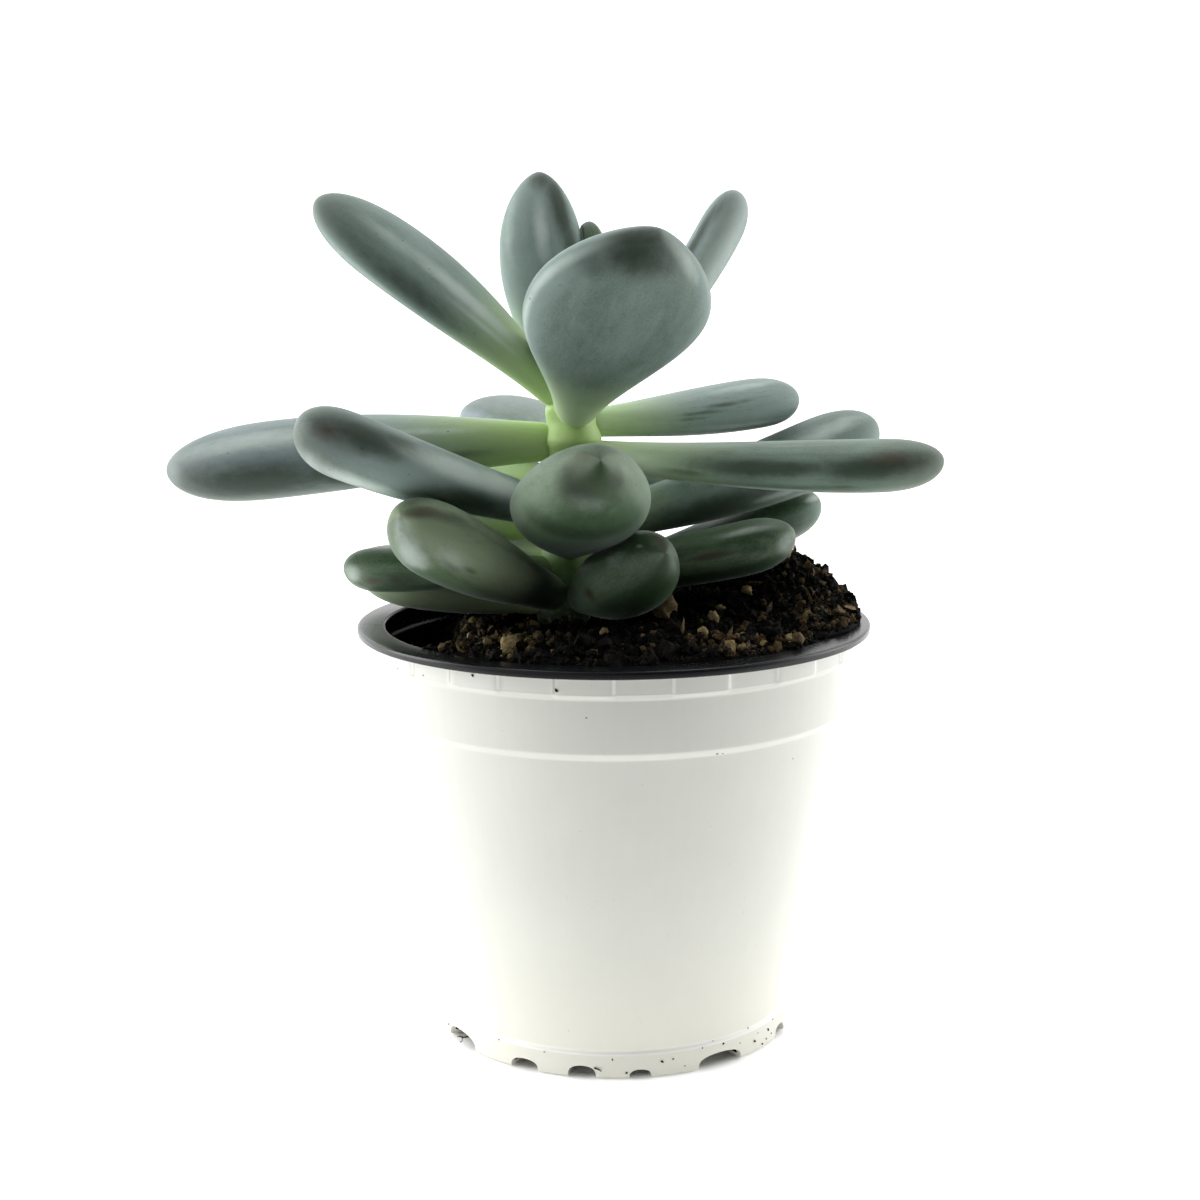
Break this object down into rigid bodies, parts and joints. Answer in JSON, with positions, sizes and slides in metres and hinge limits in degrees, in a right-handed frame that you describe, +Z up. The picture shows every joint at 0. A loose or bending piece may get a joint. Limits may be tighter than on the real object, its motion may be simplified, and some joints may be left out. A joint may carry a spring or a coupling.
{
  "type": "potted_succulent",
  "caption": "Potted pachyphytum: thick blue-green leaves spiralling up a short stem, rooted in peaty soil in a white nursery pot with a black flange.",
  "frame": {"origin": "Bottom centre of the whole object's box, on the ground. It lies 13.2 mm to the left of the pot's own axis, because the leaves reach farther to the left than to the right.", "axes": "+Z up along the pot, -Y the front as pictured, +X to the right of it."},
  "size_m": [0.1538, 0.105, 0.176],
  "materials": {
    "pot_white": "satin",
    "soil": "matte",
    "stem": "satin",
    "leaf": "matte"
  },
  "bodies": {
    "root": {"pot": "pot_white", "soil": "soil", "stem": "stem", "leaf_01": "leaf", "leaf_02": "leaf", "leaf_03": "leaf", "leaf_04": "leaf", "leaf_05": "leaf", "leaf_06": "leaf", "leaf_07": "leaf", "leaf_08": "leaf", "leaf_09": "leaf", "leaf_10": "leaf", "leaf_11": "leaf", "leaf_12": "leaf", "leaf_13": "leaf", "leaf_14": "leaf", "leaf_15": "leaf", "leaf_16": "leaf", "leaf_17": "leaf", "leaf_18": "leaf", "leaf_19": "leaf", "leaf_20": "leaf", "leaf_21": "leaf", "leaf_22": "leaf", "leaf_23": "leaf", "leaf_24": "leaf", "leaf_25": "leaf", "leaf_26": "leaf", "leaf_27": "leaf"}
  },
  "joints": []
}
